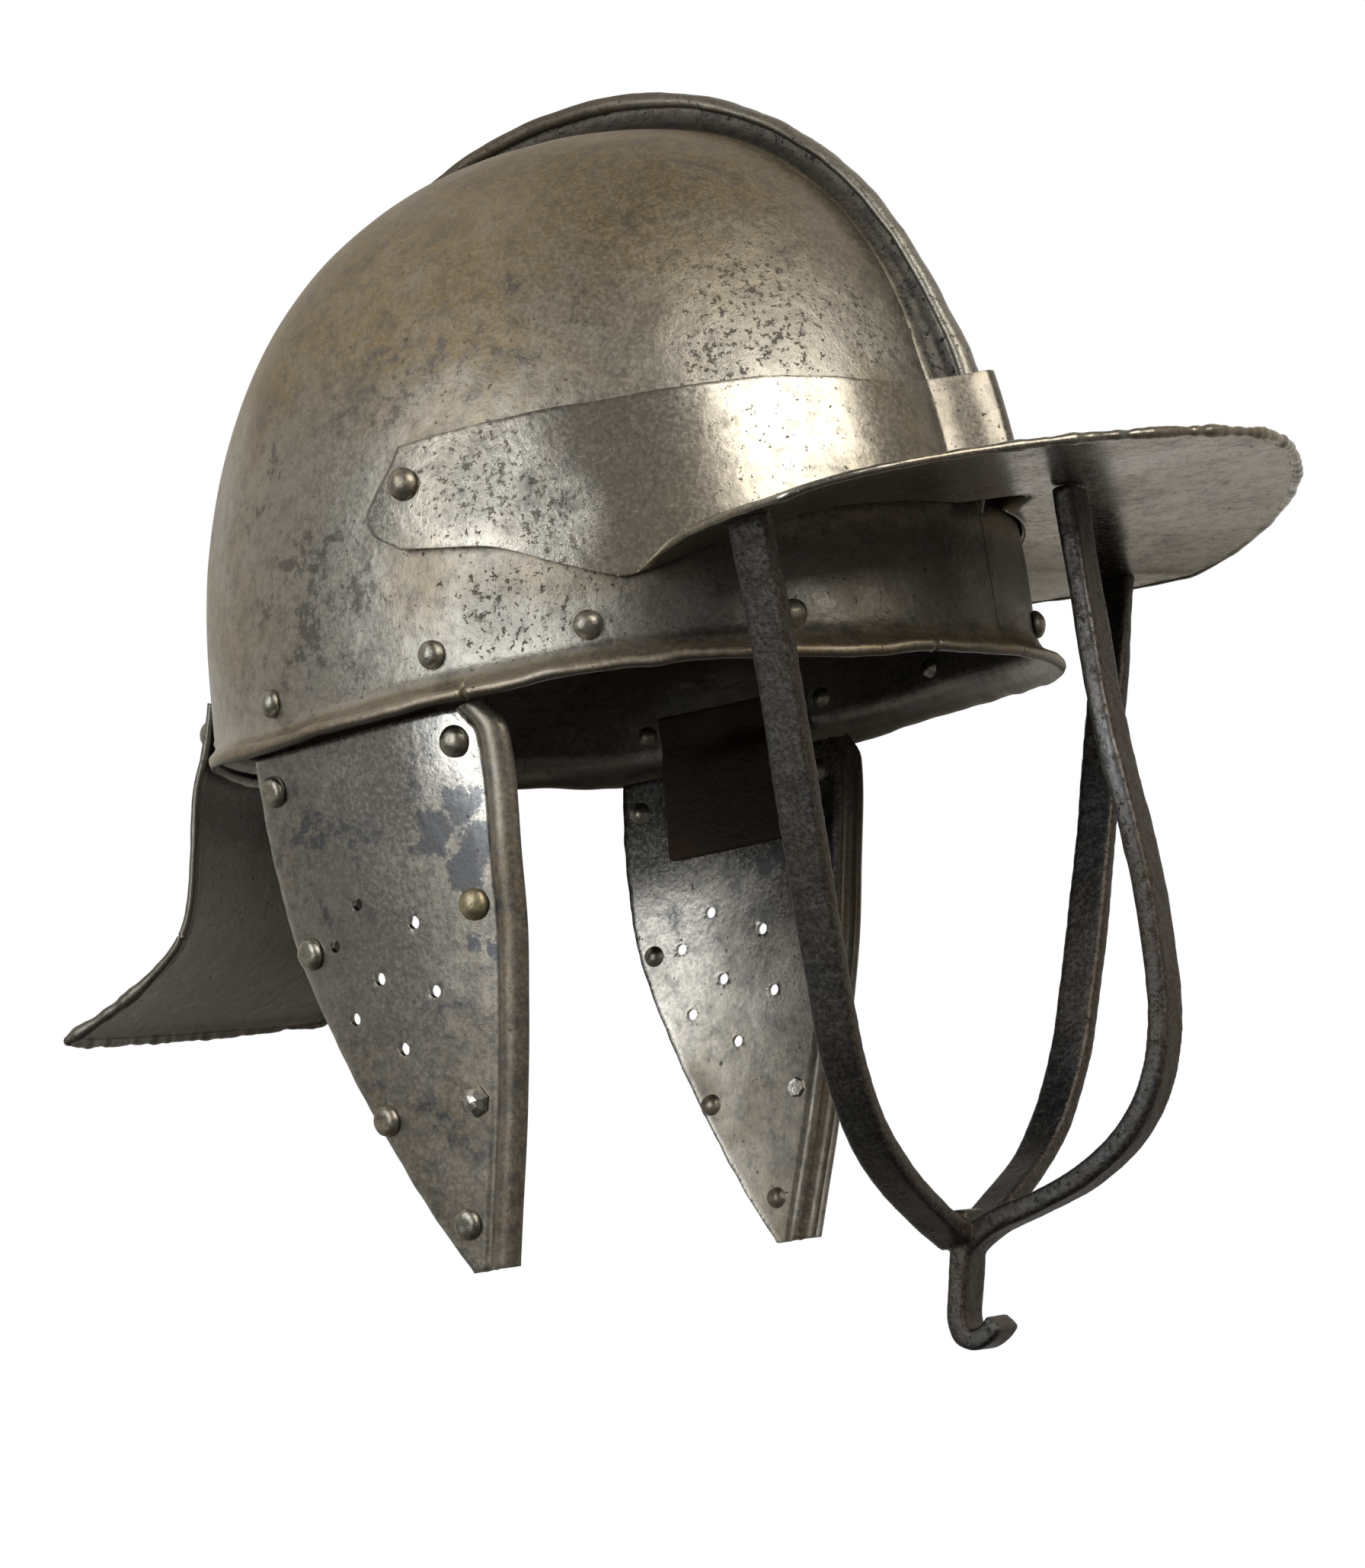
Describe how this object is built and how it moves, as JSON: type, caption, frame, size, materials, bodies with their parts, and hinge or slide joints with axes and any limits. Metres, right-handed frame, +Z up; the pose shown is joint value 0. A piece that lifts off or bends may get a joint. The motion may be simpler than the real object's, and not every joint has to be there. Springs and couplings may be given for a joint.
{
  "type": "three-bar pot helmet",
  "caption": "Steel pot helmet with a combed two-part skull, a pivoted peaked visor carrying a face guard of bars, hanging cheek pieces and a flared neck guard.",
  "frame": {"origin": "middle of the rim's opening, on the plane of the rim's bottom edge, where the helmet sits on a head", "axes": "+X the wearer's front, +Y the wearer's left, +Z up"},
  "size_m": [0.3556, 0.2116, 0.336],
  "materials": {
    "skull": "aged pitted steel with a brown patina",
    "visor": "aged pitted steel, brighter where it is worn",
    "bars": "dark brown forged steel",
    "neck_plate": "dull aged steel",
    "cheek_plate": "smooth worn steel with dark stains",
    "rivets": "domed worn steel",
    "strap_leather": "dark old leather"
  },
  "bodies": {
    "helmet": {"skull_right": "skull", "skull_left": "skull", "neck_guard": "neck_plate", "cheek_right": "cheek_plate", "cheek_left": "cheek_plate", "cheek_strap_right": "strap_leather", "cheek_strap_left": "strap_leather", "pivot_rivet_right": "rivets", "pivot_rivet_left": "rivets", "rim_rivet_1": "rivets", "rim_rivet_2": "rivets", "rim_rivet_3": "rivets", "rim_rivet_4": "rivets", "rim_rivet_5": "rivets", "rim_rivet_6": "rivets", "rim_rivet_7": "rivets", "rim_rivet_8": "rivets", "neck_rivet_1": "rivets", "neck_rivet_2": "rivets", "neck_rivet_3": "rivets", "cheek_right_rivet_1": "rivets", "cheek_right_rivet_2": "rivets", "cheek_right_rivet_3": "rivets", "cheek_right_rivet_4": "rivets", "cheek_right_rivet_5": "rivets", "cheek_right_rivet_6": "rivets", "cheek_right_rivet_7": "rivets", "cheek_left_rivet_1": "rivets", "cheek_left_rivet_2": "rivets", "cheek_left_rivet_3": "rivets", "cheek_left_rivet_4": "rivets", "cheek_left_rivet_5": "rivets", "cheek_left_rivet_6": "rivets", "cheek_left_rivet_7": "rivets"},
    "visor": {"visor": "visor", "face_guard": "bars"}
  },
  "joints": [
    {"name": "visor_pivot", "type": "hinge", "parent": "helmet", "child": "visor", "pos_m": [0.005, 0, 0.0556], "axis": [0, -1, 0], "range_deg": [0, 60]}
  ]
}
